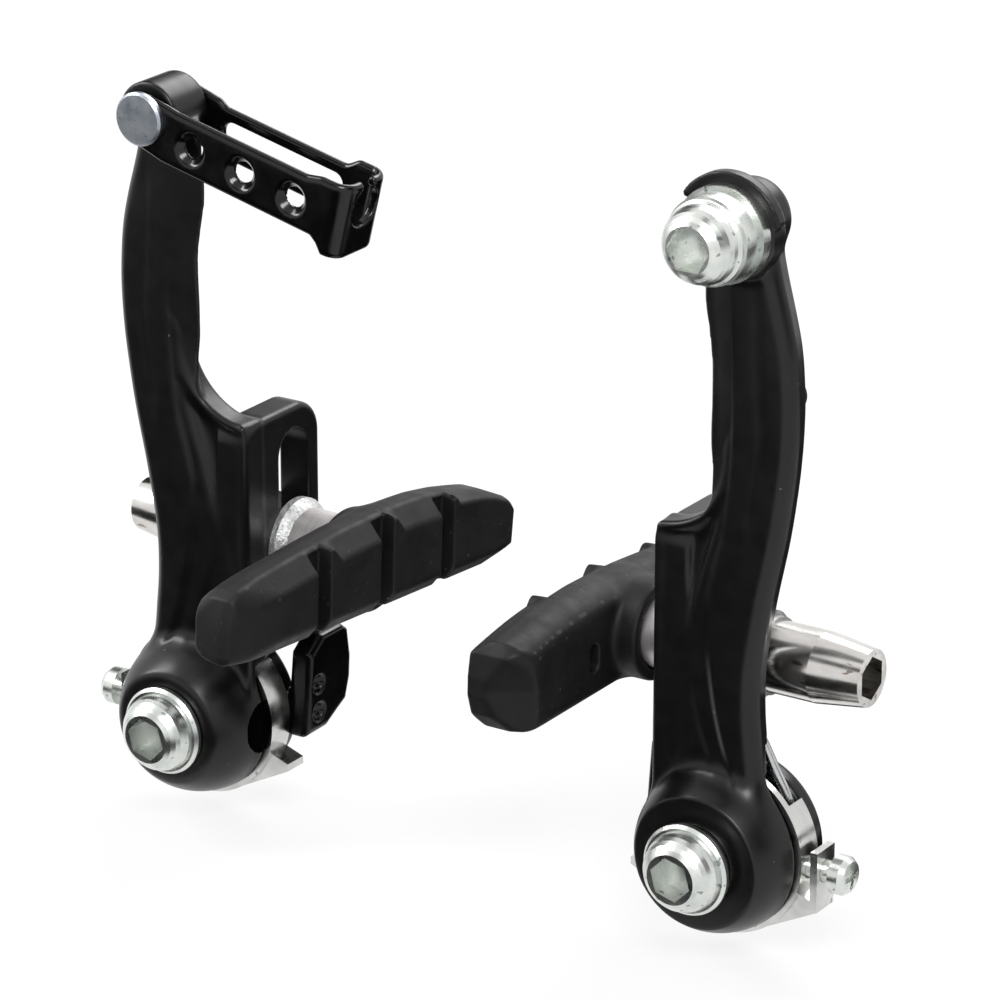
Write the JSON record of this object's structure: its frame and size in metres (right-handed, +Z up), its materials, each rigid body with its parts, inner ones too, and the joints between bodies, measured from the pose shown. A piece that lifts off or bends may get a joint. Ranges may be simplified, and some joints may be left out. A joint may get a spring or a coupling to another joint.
{
  "type": "v-brake",
  "caption": "Linear-pull rim brake for a bicycle: a pair of black arms on bushings, with sprung pivots, grooved pads on slotted studs, a folded guide link and a cable anchor.",
  "frame": {"origin": "midway between the two frame bosses, in the plane of the shoulders that the bushings bear on", "axes": "+X across the fork towards the arm with the cable anchor, +Y backwards along the bosses to their shoulders, +Z up"},
  "size_m": [0.1146, 0.0664, 0.1008],
  "materials": {
    "arm_paint": "satin black stoved paint over cast aluminium",
    "link_paint": "gloss black paint over steel sheet",
    "bolt_zinc": "bright zinc plate",
    "bracket_plate": "bright nickel plate over stamped steel",
    "bushing_steel": "turned steel",
    "retainer_plastic": "glossy black moulded plastic",
    "spring_wire": "drawn wire",
    "peg_plastic": "black",
    "pad_rubber": "moulded rubber, slightly dusty",
    "stud_steel": "zinc plated, threaded",
    "washer_grey": "rough blasted grey",
    "spacer_alu": "smooth turned",
    "nut_bright": "mirror bright plate",
    "pin_steel": "zinc plated, turned head"
  },
  "bodies": {
    "frame_side": {"left_pivot_bushing": "bushing_steel", "left_pivot_bolt": "bolt_zinc", "left_spring_bracket": "bracket_plate", "left_spring_retainer": "retainer_plastic", "left_return_spring": "spring_wire", "right_pivot_bushing": "bushing_steel", "right_pivot_bolt": "bolt_zinc", "right_spring_bracket": "bracket_plate", "right_spring_retainer": "retainer_plastic", "right_return_spring": "spring_wire"},
    "left_arm": {"left_arm": "arm_paint", "left_spring_peg": "peg_plastic"},
    "left_slot_washers": {"left_inner_dished_washer": "washer_grey", "left_outer_dished_washer": "washer_grey"},
    "left_stud_nut": {"left_inner_spacer": "spacer_alu", "left_outer_spacer": "washer_grey", "left_lock_washer": "stud_steel", "left_pad_nut": "nut_bright"},
    "left_pad": {"left_brake_pad": "pad_rubber", "left_pad_stud": "stud_steel"},
    "left_tension_screw": {"left_tension_screw": "bolt_zinc"},
    "right_arm": {"right_arm": "arm_paint", "right_spring_peg": "peg_plastic", "anchor_bolt": "bolt_zinc", "anchor_washer": "bolt_zinc"},
    "right_slot_washers": {"right_inner_dished_washer": "washer_grey", "right_outer_dished_washer": "washer_grey"},
    "right_stud_nut": {"right_inner_spacer": "spacer_alu", "right_outer_spacer": "washer_grey", "right_lock_washer": "stud_steel", "right_pad_nut": "nut_bright"},
    "right_pad": {"right_brake_pad": "pad_rubber", "right_pad_stud": "stud_steel"},
    "right_tension_screw": {"right_tension_screw": "bolt_zinc"},
    "guide_link": {"guide_link": "link_paint", "link_pin": "pin_steel"}
  },
  "joints": [
    {"name": "left_arm_pivot", "type": "hinge", "parent": "frame_side", "child": "left_arm", "pos_m": [-0.04, -0.008, 0], "axis": [0, -1, 0], "range_deg": [-4, 25], "stiffness_Nm_per_rad": 0.35, "deforming": ["left_return_spring"]},
    {"name": "left_pad_height", "type": "slide", "parent": "left_arm", "child": "left_slot_washers", "axis": [0, 0, 1], "range_m": [-0.0053, 0.0121]},
    {"name": "left_pad_toe", "type": "hinge", "parent": "left_slot_washers", "child": "left_stud_nut", "pos_m": [-0.03325, 0.0013, 0.0228], "axis": [0, 0, -1], "range_deg": [-6.4, 1.6]},
    {"name": "left_pad_tilt", "type": "hinge", "parent": "left_stud_nut", "child": "left_pad", "pos_m": [-0.03325, 0.0013, 0.0228], "axis": [0.9991, -0.0419, 0], "range_deg": [-30, 30]},
    {"name": "left_tension_turn", "type": "hinge", "parent": "frame_side", "child": "left_tension_screw", "pos_m": [-0.0525, -0.00535, -0.001], "axis": [1, 0, 0], "continuous": true},
    {"name": "right_arm_pivot", "type": "hinge", "parent": "frame_side", "child": "right_arm", "pos_m": [0.04, -0.008, 0], "axis": [0, 1, 0], "range_deg": [-4, 25], "stiffness_Nm_per_rad": 0.35, "deforming": ["right_return_spring"]},
    {"name": "right_pad_height", "type": "slide", "parent": "right_arm", "child": "right_slot_washers", "axis": [0, 0, 1], "range_m": [-0.0053, 0.0121]},
    {"name": "right_pad_toe", "type": "hinge", "parent": "right_slot_washers", "child": "right_stud_nut", "pos_m": [0.03325, 0.0013, 0.0228], "axis": [0, 0, 1], "range_deg": [-4, 4]},
    {"name": "right_pad_tilt", "type": "hinge", "parent": "right_stud_nut", "child": "right_pad", "pos_m": [0.03325, 0.0013, 0.0228], "axis": [1, 0, 0], "range_deg": [-30, 30]},
    {"name": "right_tension_turn", "type": "hinge", "parent": "frame_side", "child": "right_tension_screw", "pos_m": [0.0525, -0.00535, -0.001], "axis": [1, 0, 0], "continuous": true},
    {"name": "link_swing", "type": "hinge", "parent": "left_arm", "child": "guide_link", "pos_m": [-0.0432, -0.0087, 0.082], "axis": [0, -1, 0], "range_deg": [-50, 100]}
  ]
}
